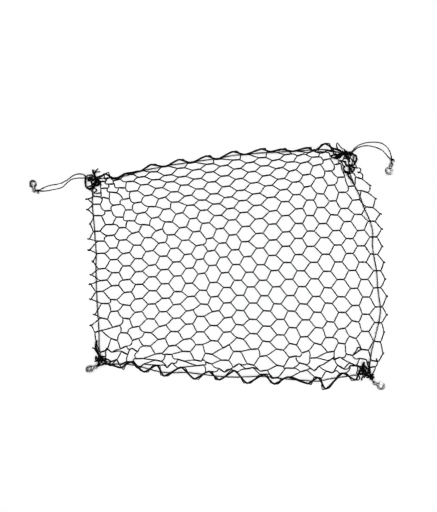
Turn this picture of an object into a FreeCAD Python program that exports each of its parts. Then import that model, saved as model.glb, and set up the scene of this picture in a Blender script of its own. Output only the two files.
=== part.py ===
"""Corner hay net: a hexagonal netting panel laid flat, with a heavy cord knitted into its top and
bottom edges, two draw cords threaded round its border, bunched and lashed corners, and a swivel
snap on a short cord or lanyard at each corner.  Millimetres, +Z up, lying on z = 0.
"""
import FreeCAD, Part
import Sketcher
import math
import os
import re

os.makedirs("parts", exist_ok=True)
doc = FreeCAD.newDocument("hay_net")

# ---------------------------------------------------------------- driving dimensions
SIZES = {
    "net_width": 1020.0,           # netting from the left cut edge to the right one, as laid
    "net_height": 830.0,           # netting from the bottom edge cord to the top one, as laid
    "netting_thickness": 3.4,      # thickness of the lying netting
    "strand_width": 3.0,           # slanting sides of a mesh
    "joint_width": 3.8,            # sides where two strands are knitted together
    "joint_length": 25.0,          # length of a knitted joint
    "stub_length": 8.0,            # cut joints that stick out of the left and right edges
    "edge_cord_diameter": 5.0,     # heavy cord knitted into the top and bottom edges
    "draw_cord_diameter": 2.5,     # cords threaded round the border
    "gather_neck_radius": 6.0,     # bunched netting where it is lashed
    "gather_neck_length": 9.0,     # bunched netting between the tail and the flare
    "gather_thickness": 13.0,      # bunched netting where it flares out
    "gather_mouth_thickness": 10.8,  # and where it spreads into the panel
    "gather_tail_slimming": 1.0,   # the tail's end is this much slimmer than the neck
    "lashing_turns_pitch": 2.3,    # step between the turns of a lashing
    "knot_radius": 5.5,            # stopper knot behind a lanyard's snap
    "knot_distance": 13.5,         # knot centre from the cord's bend in the eye
    "eye_ring_radius": 5.2,        # centreline of a snap's eye
    "eye_bar_radius": 1.8,         # round bar of the eye
    "stem_radius": 1.95,           # the eye's stem in the barrel
    "stem_head_radius": 2.85,      # the stem's riveted head
    "stem_head_length": 2.0,
    "barrel_radius": 4.6,          # the hook's swivel barrel
    "barrel_length": 7.3,
    "barrel_wall": 2.8,            # end wall that the stem turns in
    "hook_reach": 22.7,            # from the eye's hole to the hook's centre
    "hook_ring_radius": 10.25,     # centreline of the hook
    "hook_bar_radius": 3.25,       # round section of the hook
    "mouth_half_height": 5.2,      # half of the gap that the gate closes
    "pivot_side": 8.7,             # gate pivot from the hook's centreline
    "pivot_drop": 6.4,             # gate pivot below the hook's centre
    "ear_radius": 3.5,             # ears that hold the gate's pin
    "ear_spread": 8.0,             # over both ears
    "gate_width": 3.4,             # gate across its face
    "gate_depth": 3.8,             # gate through the hook's thickness
    "knuckle_radius": 2.7,         # gate's round end on the pin
    "tab_reach": 2.2,              # thumb tab out of the gate
    "pin_radius": 1.2,
    "pin_head_radius": 1.8,
    "pin_head_length": 0.4,
    "spring_width": 1.3,           # coiled gate spring inside the knuckle
    "spring_outer_radius": 2.3,
    "tab_slimming": 0.6,           # the thumb tab is this much thinner than the gate
    "split_margin": 0.2,           # the gate's split cut reaches this far past its knuckle
    "cut_margin": 1.0,             # other cuts reach this far past the metal they remove
    "floor_gap": 0.1,              # under a cord or a barrel that lies on the floor
    "running_clearance": 0.05,     # radial, pins and stems in their holes
    "side_clearance": 0.15,        # beside pieces that swing between walls
    "free_clearance": 0.3,         # between pieces that must not touch
}

sheet = doc.addObject("Spreadsheet::Sheet", "sizes")
for line_number, (alias, size) in enumerate(SIZES.items(), start=1):
    sheet.set(f"A{line_number}", alias)
    sheet.set(f"B{line_number}", str(size))
    sheet.setAlias(f"B{line_number}", alias)
doc.recompute()


def size(alias):
    """A driving dimension as the sheet holds it."""
    return float(sheet.get(alias))


def cells(formula):
    """A formula in the sheet's words, such as 'pin_radius + 1', as an expression."""
    return re.sub(r"([a-z][a-z_]+)", r"sizes.\1", formula)


nodes = []


def keep(item, name, placement=None):
    """Name a finished sub-part, place it and list it for export."""
    item.Label = name
    if placement is not None:
        item.Placement = placement
    nodes.append(item)
    return item


# ---------------------------------------------------------------- where the net lies
# The places below are for a net of this size; at() moves them with the sheet's two overall sizes.
LAID_WIDTH, LAID_HEIGHT = 1020.0, 830.0
SPREAD_X = size("net_width") / LAID_WIDTH
SPREAD_Y = size("net_height") / LAID_HEIGHT
# Middle of the whole object on the floor, snaps included, in the same places.
MIDDLE = (1.2, -0.9)

# The net lies unevenly: its top edge slopes, its right side bulges and its corners are drawn in.
# Each line is one row of meshes, counted from the top edge, at these columns of joints.
GRID_COLUMNS = (-1, 3, 7, 11, 15, 19, 23)
GRID_ROWS = {
    0.0: ((-411, 296), (-323, 316), (-150, 357), (31, 384), (207, 401), (364, 411), (466, 391)),
    1.5: ((-411, 282), (-316, 299), (-146, 316), (44, 343), (221, 364), (381, 388), (479, 371)),
    3.0: ((-418, 255), (-296, 252), (-133, 275), (48, 292), (235, 320), (398, 350), (507, 337)),
    6.0: ((-418, 122), (-262, 136), (-102, 160), (68, 180), (255, 197), (415, 201), (578, 207)),
    9.0: ((-415, -3), (-245, 7), (-75, 20), (82, 34), (255, 41), (432, 44), (595, 44)),
    12.0: ((-411, -129), (-245, -129), (-71, -126), (99, -122), (272, -122), (445, -129), (612, -129)),
    15.0: ((-401, -265), (-258, -269), (-85, -265), (95, -272), (279, -289), (442, -286), (588, -313)),
    16.5: ((-388, -303), (-272, -316), (-99, -320), (85, -343), (265, -354), (445, -337), (558, -347)),
    18.0: ((-384, -323), (-282, -343), (-102, -364), (82, -377), (262, -394), (449, -388), (530, -360)),
}
LAST_COLUMN = 22
LAST_ROW = 18
# The first and last joint of each column lies on the top or bottom edge cord, which waves.
TOP_JOINTS = (
    (-385, 297), (-374, 309), (-360, 316), (-328, 300), (-283, 319), (-243, 325), (-202, 348),
    (-158, 341), (-107, 365), (-68, 354), (-15, 377), (21, 366), (75, 392), (114, 382),
    (172, 401), (203, 392), (240, 400), (278, 393), (327, 405), (351, 395), (388, 419),
    (419, 402), (437, 412),
)
BOTTOM_JOINTS = (
    (-375, -319), (-351, -329), (-307, -342), (-273, -323), (-227, -356), (-185, -334),
    (-159, -370), (-102, -341), (-56, -380), (-8, -355), (28, -383), (80, -353), (123, -395),
    (179, -366), (215, -397), (261, -374), (329, -396), (364, -376), (390, -414), (448, -361),
    (490, -383), (506, -363), (516, -339),
)


def at(x, y, z=0.0):
    """A place in the laid-out net, as a vector from the object's own origin."""
    return FreeCAD.Vector((x - MIDDLE[0]) * SPREAD_X, (y - MIDDLE[1]) * SPREAD_Y, z)


def smooth(stations, values, where):
    """The value at one station of a smooth curve through evenly or unevenly spaced ones."""
    span = 0
    while span < len(stations) - 2 and where > stations[span + 1]:
        span += 1

    def slope(k):
        low, high = max(k - 1, 0), min(k + 1, len(stations) - 1)
        return (values[high] - values[low]) * (1.0 / (stations[high] - stations[low]))

    width = stations[span + 1] - stations[span]
    t = (where - stations[span]) / width
    return (values[span] * (2 * t**3 - 3 * t**2 + 1)
            + slope(span) * (width * (t**3 - 2 * t**2 + t))
            + values[span + 1] * (3 * t**2 - 2 * t**3)
            + slope(span + 1) * (width * (t**3 - t**2)))


def net_point(column, row):
    """Where a place of the netting lies: columns count to the right, rows down."""
    across = [smooth(GRID_COLUMNS, [at(*place) for place in line], column)
              for line in GRID_ROWS.values()]
    return smooth(list(GRID_ROWS), across, row)


JOINT_SHARE = size("joint_length") / 2 / (size("net_width") / (GRID_COLUMNS[-1] - GRID_COLUMNS[0]))


def column_rows(column):
    """The rows of the joints in a column: every other column sits half a row lower."""
    if column % 2 == 0:
        return [float(row) for row in range(LAST_ROW + 1)]
    return [row + 0.5 for row in range(LAST_ROW)]


def joint_end(column, row, side):
    """The left (side -1) or right (side 1) end of the joint at one column and row."""
    end = net_point(column + side * JOINT_SHARE, row)
    if 0 <= column <= LAST_COLUMN:
        for places, rim_row in ((TOP_JOINTS, column_rows(column)[0]),
                                (BOTTOM_JOINTS, column_rows(column)[-1])):
            if row == rim_row:
                end += at(*places[column]) - net_point(column, row)
    return end


# ---------------------------------------------------------------- netting panel
# One flat sheet with a six-sided hole for each mesh. Bunched meshes at the corners stay closed.
PARALLEL = 0.05                 # sides whose turn has a smaller sine than this count as parallel
LEAST_SIDE = 0.5                # the shortest side that a mesh's hole keeps, in millimetres
NEIGHBOURS = 4 * size("joint_length")   # holes further apart than this can't cross


def shifted_outline(corners, offsets):
    """Move each side of a polygon to its left by its own offset; None if it turns inside out."""
    count = len(corners)
    lines = []
    for k in range(count):
        along = (corners[(k + 1) % count] - corners[k]).normalize()
        normal = FreeCAD.Vector(-along.y, along.x, 0)
        lines.append((corners[k] + normal * offsets[k], along))
    moved = []
    for k in range(count):
        start, first = lines[k - 1]
        other, second = lines[k]
        turn = first.x * second.y - first.y * second.x
        if abs(turn) < PARALLEL:
            moved.append(other)
            continue
        gap = other - start
        moved.append(start + first * ((gap.x * second.y - gap.y * second.x) / turn))
    for k in range(count):
        if (moved[(k + 1) % count] - moved[k]).dot(lines[k][1]) <= LEAST_SIDE:
            return None
    return moved


def side_of(start, end, place):
    """Above zero where a place lies to the left of a line."""
    return (end.x - start.x) * (place.y - start.y) - (end.y - start.y) * (place.x - start.x)


def cross(first, second):
    """Whether the outlines of two polygons cross."""
    for a, b in zip(first, first[1:] + first[:1]):
        for c, d in zip(second, second[1:] + second[:1]):
            if (side_of(a, b, c) * side_of(a, b, d) < 0
                    and side_of(c, d, a) * side_of(c, d, b) < 0):
                return True
    return False


def mesh_holes(rim):
    """The holes of the meshes that lie open; one that is folded over another stays closed."""
    joint, strand = size("joint_width") / 2, size("strand_width") / 2
    sides = (joint, strand, strand, joint, strand, strand)
    holes = []
    for column in range(LAST_COLUMN + 1):
        for row in column_rows(column)[:-1]:
            corners = [joint_end(column, row + 1, -1), joint_end(column, row + 1, 1),
                       joint_end(column + 1, row + 0.5, -1), joint_end(column, row, 1),
                       joint_end(column, row, -1), joint_end(column - 1, row + 0.5, 1)]
            hole = shifted_outline(corners, sides)
            if hole is None:
                continue
            near = [other for other in holes if (other[0] - hole[0]).Length < NEIGHBOURS]
            if not any(cross(hole, other) for other in near + [hole, rim]):
                holes.append(hole)
    return holes


def panel_rim():
    """Corners of the panel's rim, anticlockwise, each with True where a cut joint sticks out."""
    rim = []
    for column in range(LAST_COLUMN + 1):
        row = column_rows(column)[-1]
        rim += [(joint_end(column, row, side), False) for side in (-1, 1)]
    for row in reversed(column_rows(LAST_COLUMN + 1)):
        rim.append((joint_end(LAST_COLUMN + 1, row, -1), True))
        rim.append((joint_end(LAST_COLUMN, row - 0.5, 1), False))
    for column in reversed(range(LAST_COLUMN + 1)):
        row = column_rows(column)[0]
        sides = (1, -1) if column < LAST_COLUMN else (-1,)
        rim += [(joint_end(column, row, side), False) for side in sides]
    for row in column_rows(-1):
        rim.append((joint_end(-1, row, 1), True))
        if row + 0.5 < LAST_ROW:
            rim.append((joint_end(0, row + 0.5, -1), False))
    return rim


def panel_outline():
    """The rim moved outwards by half a strand, with a stub at each cut joint."""
    half, stub = size("strand_width") / 2, size("stub_length")
    rim = panel_rim()
    outline = []
    for k, (corner, is_stub) in enumerate(rim):
        before = (corner - rim[k - 1][0]).normalize()
        after = (rim[(k + 1) % len(rim)][0] - corner).normalize()
        along = (before + after).normalize()
        out = FreeCAD.Vector(along.y, -along.x, 0)
        if is_stub:
            outline += [corner + out * reach + along * step for reach, step
                        in ((half, -half), (stub, -half), (stub, half), (half, half))]
        else:
            outline.append(corner + out * half)
    return outline


def flat_wire(corners):
    return Part.makePolygon(corners + corners[:1])


outline = panel_outline()
wires = [flat_wire(corners) for corners in [outline] + mesh_holes(outline)]
face = Part.makeFace(wires, "Part::FaceMakerBullseye")
net_panel = doc.addObject("Part::Feature", "net_panel")
net_panel.Shape = face.extrude(FreeCAD.Vector(0, 0, size("netting_thickness")))
keep(net_panel, "net_panel")


# ---------------------------------------------------------------- cords
# Straight runs joined by tangent arcs, each arc nearly as large as its two runs allow.
ARC_SHARE = 0.45                # of the shorter run, taken up by each arc's tangent
VOLUME_TOLERANCE = 0.01         # a swept cord's volume against its length times its section


def cord_path(corners):
    edges, radii = [], []
    start = corners[0]
    for before, corner, after in zip(corners, corners[1:], corners[2:]):
        inward, outward = corner - before, after - corner
        turn = inward.getAngle(outward)
        tangent = ARC_SHARE * min(inward.Length, outward.Length)
        radius = tangent / math.tan(turn / 2)
        enter = corner - inward.normalize() * tangent
        leave = corner + outward.normalize() * tangent
        centre_way = (outward - inward).normalize()
        middle = corner + centre_way * (radius / math.cos(turn / 2) - radius)
        edges += [Part.LineSegment(start, enter).toShape(), Part.Arc(enter, middle, leave).toShape()]
        radii.append(radius)
        start = leave
    edges.append(Part.LineSegment(start, corners[-1]).toShape())
    return Part.Wire(edges), radii


def cord(name, corners, diameter):
    """A round cord along a list of places."""
    path, radii = cord_path(corners)
    first = (corners[1] - corners[0]).normalize()
    ring = Part.Wire(Part.Circle(corners[0], first, diameter / 2).toShape())
    tube = path.makePipeShell([ring], True, False)
    expected = math.pi * diameter**2 / 4 * path.Length
    print(f"{name}: length {path.Length:.0f} mm, least radius {min(radii):.1f} mm,"
          f" volume share {tube.Volume / expected:.4f}")
    if abs(tube.Volume / expected - 1) > VOLUME_TOLERANCE:
        raise ValueError(f"{name} has the wrong volume")
    item = doc.addObject("Part::Feature", name)
    item.Shape = tube
    return keep(item, name)


# Heights of a draw cord's middle: on the floor, over the edge cords, and through a lashed corner.
ON_FLOOR = size("draw_cord_diameter") / 2 + size("floor_gap")
OVER_NET = size("edge_cord_diameter") + size("draw_cord_diameter") / 2 + size("free_clearance")
NECK_HEIGHT = size("gather_neck_radius") + size("draw_cord_diameter") + size("floor_gap")


# ---------------------------------------------------------------- corners
# Each corner: the bend of its cord in the snap's eye, the way the snap points, the way its cord
# leaves, the roll of the hook about its swivel, and the netting bunched and lashed beside it.
CORNERS = {
    "top_left": {"bend": (-600, 258), "heading": 100, "lead": 2, "roll": 30, "lanyard": True,
                 "neck": (-412, 298), "flare": -35, "gather_length": 34, "gather_spread": 16},
    "top_right": {"bend": (613, 350), "heading": 250, "lead": 88, "roll": 15, "lanyard": True,
                  "neck": (472, 384), "flare": 212, "gather_length": 36, "gather_spread": 17},
    "bottom_left": {"bend": (-389, -338), "heading": 197, "lead": 50, "roll": 45, "lanyard": False,
                    "neck": (-376, -313), "flare": 75, "gather_length": 26, "gather_spread": 10},
    "bottom_right": {"bend": (555, -394), "heading": 336, "lead": 133, "roll": 0, "lanyard": False,
                     "neck": (546, -376), "flare": 140, "gather_length": 46, "gather_spread": 24},
}


def direction(degrees):
    return FreeCAD.Vector(math.cos(math.radians(degrees)), math.sin(math.radians(degrees)), 0)


def snap_height(corner):
    """The swivel's height: the rolled hook or its barrel just clears the floor."""
    hook = size("hook_ring_radius") * math.sin(math.radians(corner["roll"])) + size("hook_bar_radius")
    return max(hook, size("barrel_radius")) + size("floor_gap")


def bend_place(corner, height):
    return at(*corner["bend"], height)


def neck_place(corner, away=0.0):
    """A place on the middle line of a lashed neck, this far from it towards the panel."""
    return at(*corner["neck"], NECK_HEIGHT) + direction(corner["flare"]) * away


def edge_cord(name, start_corner, places, end_corner):
    """The heavy cord that runs in and out along the last joints, its ends bunched in two corners."""
    lying = [at(*place, size("edge_cord_diameter") / 2) for place in places]
    inside = size("gather_neck_length")
    ends = [neck_place(CORNERS[corner], inside) for corner in (start_corner, end_corner)]
    cord(name, [ends[0]] + lying[1:-1] + [ends[1]], size("edge_cord_diameter"))


edge_cord("top_edge_cord", "top_left", TOP_JOINTS, "top_right")
edge_cord("bottom_edge_cord", "bottom_left", BOTTOM_JOINTS, "bottom_right")


OVAL = 0.01                     # an ellipse's long radius has to be longer than its short one
FLARE_PLACE, FLARE_SPREAD = 0.6, 0.7    # where a bunch is thickest: shares of its length and width


def section(name, major, minor, away, corner):
    """An elliptical cross-section of a bunched corner, standing across its neck's line."""
    ellipse = doc.addObject("Part::Ellipse", name)
    ellipse.setExpression("MajorRadius", cells(major) if isinstance(major, str) else str(major))
    ellipse.setExpression("MinorRadius", cells(minor))
    turn = FreeCAD.Rotation(FreeCAD.Vector(0, 0, 1), corner["flare"] + 90)
    stand = FreeCAD.Rotation(FreeCAD.Vector(1, 0, 0), 90)
    ellipse.Placement = FreeCAD.Placement(neck_place(corner, away), turn * stand)
    return ellipse


def gather(place_name, corner):
    """Netting bunched into a neck and flaring towards the panel, with a short tail."""
    neck, length = size("gather_neck_length"), corner["gather_length"]
    spread = corner["gather_spread"]
    parts = [
        section(f"{place_name}_tail", f"gather_neck_radius - gather_tail_slimming + {OVAL}",
                "gather_neck_radius - gather_tail_slimming", -neck, corner),
        section(f"{place_name}_neck_start", f"gather_neck_radius + {OVAL}", "gather_neck_radius",
                -neck / 2, corner),
        section(f"{place_name}_neck_end", f"gather_neck_radius + {OVAL}", "gather_neck_radius",
                neck / 2, corner),
        section(f"{place_name}_flare", spread * FLARE_SPREAD, "gather_thickness / 2",
                length * FLARE_PLACE, corner),
        section(f"{place_name}_mouth", spread, "gather_mouth_thickness / 2", length, corner),
    ]
    loft = doc.addObject("Part::Loft", f"corner_gather_{place_name}")
    loft.Sections = parts
    loft.Solid = True
    loft.Ruled = True
    keep(loft, f"corner_gather_{place_name}")


def lashing(place_name, corner):
    """Three turns of cord round the neck."""
    turns = []
    for step in (-1, 0, 1):
        turn = doc.addObject("Part::Torus", f"lashing_turn_{place_name}_{step + 2}")
        turn.setExpression("Radius1", cells("gather_neck_radius + draw_cord_diameter / 2"))
        turn.setExpression("Radius2", cells("draw_cord_diameter / 2"))
        shift = direction(corner["flare"]) * (step * size("lashing_turns_pitch"))
        upright = FreeCAD.Rotation(FreeCAD.Vector(0, 0, 1), direction(corner["flare"]))
        turn.Placement = FreeCAD.Placement(neck_place(corner) + shift, upright)
        turns.append(turn)
    whole = doc.addObject("Part::MultiFuse", f"corner_lashing_{place_name}")
    whole.Shapes = turns
    keep(whole, f"corner_lashing_{place_name}")


def knot_place(corner):
    """The middle of the stopper knot on a lanyard, behind the cord's bend in the snap's eye."""
    return bend_place(corner, snap_height(corner)) + direction(corner["lead"]) * size("knot_distance")


def snap_knot(place_name, corner):
    knot = doc.addObject("Part::Sphere", f"lanyard_knot_{place_name}")
    knot.setExpression("Radius", cells("knot_radius"))
    keep(knot, f"lanyard_knot_{place_name}",
         FreeCAD.Placement(knot_place(corner), FreeCAD.Rotation()))


LEGS_APART, LEGS_CLOSE = 0.6, 0.6   # a loop's legs: cord diameters, and share of the knot's distance


def eye_loop(place_name, corner):
    """The cord's bend through the snap's eye: over its bar, down through the hole and back."""
    reach = size("eye_bar_radius") + size("free_clearance") + size("draw_cord_diameter") / 2
    height = snap_height(corner)
    away = direction(corner["lead"])
    bend = bend_place(corner, height)
    rise = FreeCAD.Vector(0, 0, reach)
    anchor = knot_place(corner) if corner["lanyard"] else neck_place(corner)
    apart = FreeCAD.Vector(0, 0, size("draw_cord_diameter") * LEGS_APART)
    step = away * (size("knot_distance") * LEGS_CLOSE)
    corners = [anchor + apart, bend + step + rise, bend + rise,
               bend - rise, bend + step - rise, anchor - apart]
    cord(f"snap_loop_{place_name}", corners, size("draw_cord_diameter"))


for place_name, corner in CORNERS.items():
    gather(place_name, corner)
    lashing(place_name, corner)
    if corner["lanyard"]:
        snap_knot(place_name, corner)
    eye_loop(place_name, corner)


# ---------------------------------------------------------------- sketches for the snaps
def sketch_on(body, role, name):
    plane = next(item for item in body.Origin.OriginFeatures if item.Role == role)
    sketch = body.newObject("Sketcher::SketchObject", name)
    sketch.AttachmentSupport = [(plane, "")]
    sketch.MapMode = "FlatFace"
    return sketch


def bind(sketch, kind, places, formula):
    """Add one constraint and tie it to a formula of the sheet's words."""
    number = sketch.addConstraint(Sketcher.Constraint(kind, *places, 1.0))
    sketch.setExpression(f"Constraints[{number}]", cells(formula))


def polygon(body, role, name, corners):
    """A closed outline; each corner is a pair of formulas."""
    sketch = sketch_on(body, role, name)
    count = len(corners)
    rough = [FreeCAD.Vector(10 * math.cos(2 * math.pi * k / count),
                            10 * math.sin(2 * math.pi * k / count), 0) for k in range(count)]
    for k in range(count):
        sketch.addGeometry(Part.LineSegment(rough[k], rough[(k + 1) % count]), False)
    for k in range(count):
        sketch.addConstraint(Sketcher.Constraint("Coincident", k, 2, (k + 1) % count, 1))
    for k, (across, up) in enumerate(corners):
        bind(sketch, "DistanceX", (-1, 1, k, 1), across)
        bind(sketch, "DistanceY", (-1, 1, k, 1), up)
    return sketch


def circles(body, role, name, across, up, *radii):
    """Circles about one centre; the centre and the radii are formulas."""
    sketch = sketch_on(body, role, name)
    for k, radius in enumerate(radii):
        sketch.addGeometry(Part.Circle(FreeCAD.Vector(3, 3, 0), FreeCAD.Vector(0, 0, 1), 2 + k), False)
        bind(sketch, "Radius", (k,), radius)
        bind(sketch, "DistanceX", (-1, 1, k, 3), across)
        bind(sketch, "DistanceY", (-1, 1, k, 3), up)
    return sketch


def turned(body, kind, name, sketch):
    """A Revolution or Groove of a sketch about its own vertical axis, all the way round."""
    feature = body.newObject(f"PartDesign::{kind}", name)
    feature.Profile = sketch
    feature.ReferenceAxis = (sketch, ["V_Axis"])
    feature.Angle = 360
    body.Tip = feature
    return feature


def both_ways(body, kind, name, sketch, length):
    """A Pad or Pocket of a sketch, half of it on each side of the sketch's plane."""
    feature = body.newObject(f"PartDesign::{kind}", name)
    feature.Profile = sketch
    feature.SideType = "Symmetric"
    feature.setExpression("Length", cells(length))
    body.Tip = feature
    return feature


# ---------------------------------------------------------------- snaps
# A snap's own frame: +Y points from the swivel to the hook's far end, Z stands on the hook's
# plane, and the origin is the hook's centre. The eye's frame starts at the centre of its hole.
STEM_START = "eye_ring_radius + eye_bar_radius / 2"
BARREL_GAP = "eye_ring_radius + eye_bar_radius + free_clearance + floor_gap"


def make_eye(name):
    """A ring for the cord on a riveted stem."""
    body = doc.addObject("PartDesign::Body", name)
    ring = circles(body, "XZ_Plane", f"{name}_bar", "eye_ring_radius", "0", "eye_bar_radius")
    turned(body, "Revolution", f"{name}_ring", ring)
    rivet = f"{BARREL_GAP} + barrel_wall"
    outline = polygon(body, "XY_Plane", f"{name}_stem_side", [
        ("0", STEM_START), ("stem_radius", STEM_START),
        ("stem_radius", f"{rivet} + side_clearance"),
        ("stem_head_radius", f"{rivet} + side_clearance"),
        ("stem_head_radius", f"{rivet} + side_clearance + stem_head_length"),
        ("0", f"{rivet} + side_clearance + stem_head_length")])
    turned(body, "Revolution", f"{name}_stem", outline)
    return body


def make_hook(name):
    """A round hook with a gap for the gate, ears for its pin and a hollow barrel."""
    body = doc.addObject("PartDesign::Body", name)
    bar = circles(body, "XZ_Plane", f"{name}_bar", "hook_ring_radius", "0", "hook_bar_radius")
    turned(body, "Revolution", f"{name}_ring", bar)
    low = f"0 - hook_reach + {BARREL_GAP}"
    barrel = polygon(body, "XY_Plane", f"{name}_barrel_side", [
        ("0", low), ("barrel_radius", low), ("barrel_radius", f"{low} + barrel_length"),
        ("0", f"{low} + barrel_length")])
    turned(body, "Revolution", f"{name}_barrel", barrel)
    outside, inside = "0 - hook_ring_radius - hook_bar_radius - cut_margin", "0 - hook_bar_radius"
    mouth = polygon(body, "XY_Plane", f"{name}_mouth_side", [
        (outside, "0 - mouth_half_height"), (inside, "0 - mouth_half_height"),
        (inside, "mouth_half_height"), (outside, "mouth_half_height")])
    both_ways(body, "Pocket", f"{name}_mouth", mouth, "4 * hook_bar_radius")
    ears = circles(body, "XY_Plane", f"{name}_ear_side", "0 - pivot_side", "0 - pivot_drop",
                   "ear_radius")
    both_ways(body, "Pad", f"{name}_ears", ears, "ear_spread")
    outside = "0 - pivot_side - ear_radius - cut_margin"
    inside = "0 - pivot_side + ear_radius + free_clearance"
    floor = "0 - pivot_drop - knuckle_radius - free_clearance"
    above = "0 - pivot_drop + ear_radius + cut_margin"
    slot = polygon(body, "XY_Plane", f"{name}_slot_side", [
        (outside, floor), (inside, floor), (inside, above), (outside, above)])
    both_ways(body, "Pocket", f"{name}_slot", slot, "gate_depth + 2 * side_clearance")
    bore = circles(body, "XY_Plane", f"{name}_bore_side", "0 - pivot_side", "0 - pivot_drop",
                   "pin_radius + running_clearance")
    both_ways(body, "Pocket", f"{name}_bore", bore, "ear_spread + 2 * cut_margin")
    hollow_start = f"{low} + barrel_wall"
    hollow_end = f"{hollow_start} + stem_head_length + 2 * side_clearance"
    stem_hole, head_hole = "stem_radius + running_clearance", "stem_head_radius + side_clearance"
    hollow = polygon(body, "XY_Plane", f"{name}_hollow_side", [
        ("0", f"{low} - cut_margin"), (stem_hole, f"{low} - cut_margin"), (stem_hole, hollow_start),
        (head_hole, hollow_start), (head_hole, hollow_end), ("0", hollow_end)])
    turned(body, "Groove", f"{name}_hollow", hollow)
    return body


TAB_ROOT = "gate_width / 7"      # how far the thumb tab is sunk into the lever


def make_gate(name):
    """A sprung lever with a split knuckle and a thumb tab."""
    body = doc.addObject("PartDesign::Body", name)
    left, right = "0 - pivot_side - gate_width / 2", "0 - pivot_side + gate_width / 2"
    top = "mouth_half_height - free_clearance"
    lever = polygon(body, "XY_Plane", f"{name}_lever_side", [
        (left, "0 - pivot_drop"), (right, "0 - pivot_drop"), (right, top), (left, top)])
    both_ways(body, "Pad", f"{name}_lever", lever, "gate_depth")
    pivot = ("0 - pivot_side", "0 - pivot_drop")
    knuckle = circles(body, "XY_Plane", f"{name}_knuckle_side", *pivot, "knuckle_radius")
    both_ways(body, "Pad", f"{name}_knuckle", knuckle, "gate_depth")
    tab = polygon(body, "XY_Plane", f"{name}_tab_side", [
        (f"{left} + {TAB_ROOT}", "0 - mouth_half_height / 2"),
        (f"{left} + {TAB_ROOT}", "mouth_half_height / 2"),
        (f"{left} - tab_reach", "mouth_half_height / 2"), (f"{left} - tab_reach / 2", "0")])
    both_ways(body, "Pad", f"{name}_tab", tab, "gate_depth - tab_slimming")
    split = circles(body, "XY_Plane", f"{name}_split_side", *pivot, "knuckle_radius + split_margin")
    both_ways(body, "Pocket", f"{name}_split", split, "spring_width + 2 * side_clearance")
    bore = circles(body, "XY_Plane", f"{name}_bore_side", *pivot, "pin_radius + running_clearance")
    both_ways(body, "Pocket", f"{name}_bore", bore, "2 * gate_depth")
    return body


def make_gate_pin(name):
    """A pin with a peened head on each ear; its own origin is its middle."""
    body = doc.addObject("PartDesign::Body", name)
    end, seat = "ear_spread / 2 + pin_head_length", "ear_spread / 2"
    side = polygon(body, "XZ_Plane", f"{name}_side", [
        ("0", f"0 - {end.replace('+', '-')}"), ("pin_head_radius", f"0 - {end.replace('+', '-')}"),
        ("pin_head_radius", f"0 - {seat}"), ("pin_radius", f"0 - {seat}"),
        ("pin_radius", seat), ("pin_head_radius", seat), ("pin_head_radius", end), ("0", end)])
    turned(body, "Revolution", f"{name}_turned", side)
    return body


def make_gate_spring(name):
    """The closed outer shape of the coiled wire inside the knuckle."""
    body = doc.addObject("PartDesign::Body", name)
    coil = circles(body, "XY_Plane", f"{name}_side", "0", "0", "spring_outer_radius",
                   "pin_radius + side_clearance")
    both_ways(body, "Pad", f"{name}_coil", coil, "spring_width")
    return body


# The eye's hole is this far beyond the cord's bend, which rests against the eye's bar.
HOLE_REACH = (size("eye_ring_radius") - size("eye_bar_radius") - size("free_clearance")
              - size("draw_cord_diameter") / 2)


def snap(place_name, corner):
    heading = direction(corner["heading"])
    upright = FreeCAD.Rotation(FreeCAD.Vector(0, 0, 1), corner["heading"] - 90)
    rolled = upright * FreeCAD.Rotation(FreeCAD.Vector(0, 1, 0), corner["roll"])
    bend = bend_place(corner, snap_height(corner))
    hole, hook_centre = bend + heading * HOLE_REACH, bend + heading * (HOLE_REACH + size("hook_reach"))
    hook_place = FreeCAD.Placement(hook_centre, rolled)
    pivot = hook_place.multVec(FreeCAD.Vector(-size("pivot_side"), -size("pivot_drop"), 0))
    pivot_place = FreeCAD.Placement(pivot, rolled)
    keep(make_eye(f"snap_eye_{place_name}"), f"snap_eye_{place_name}",
         FreeCAD.Placement(hole, upright))
    keep(make_hook(f"snap_hook_{place_name}"), f"snap_hook_{place_name}", hook_place)
    keep(make_gate(f"snap_gate_{place_name}"), f"snap_gate_{place_name}", hook_place)
    keep(make_gate_pin(f"gate_pin_{place_name}"), f"gate_pin_{place_name}", pivot_place)
    keep(make_gate_spring(f"gate_spring_{place_name}"), f"gate_spring_{place_name}", pivot_place)


for place_name, corner in CORNERS.items():
    snap(place_name, corner)


# ---------------------------------------------------------------- draw cords
# Both start in the left lanyard's knot and end in the right one's. One takes the top edge, the
# other goes down the left side, along the bottom and up the right side.
def route(*stretches):
    """Places on one level after another: each stretch is a height and its (x, y) list."""
    return [at(x, y, height) for height, places in stretches for x, y in places]


def through(place_name, first_side, beside):
    """Two places that take a cord straight through a lashed neck, from one side to the other."""
    corner, reach = CORNERS[place_name], first_side * size("gather_neck_length")
    shift = direction(corner["flare"] + 90) * (beside * size("draw_cord_diameter"))
    return [neck_place(corner, away) + shift for away in (reach, -reach)]


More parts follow.
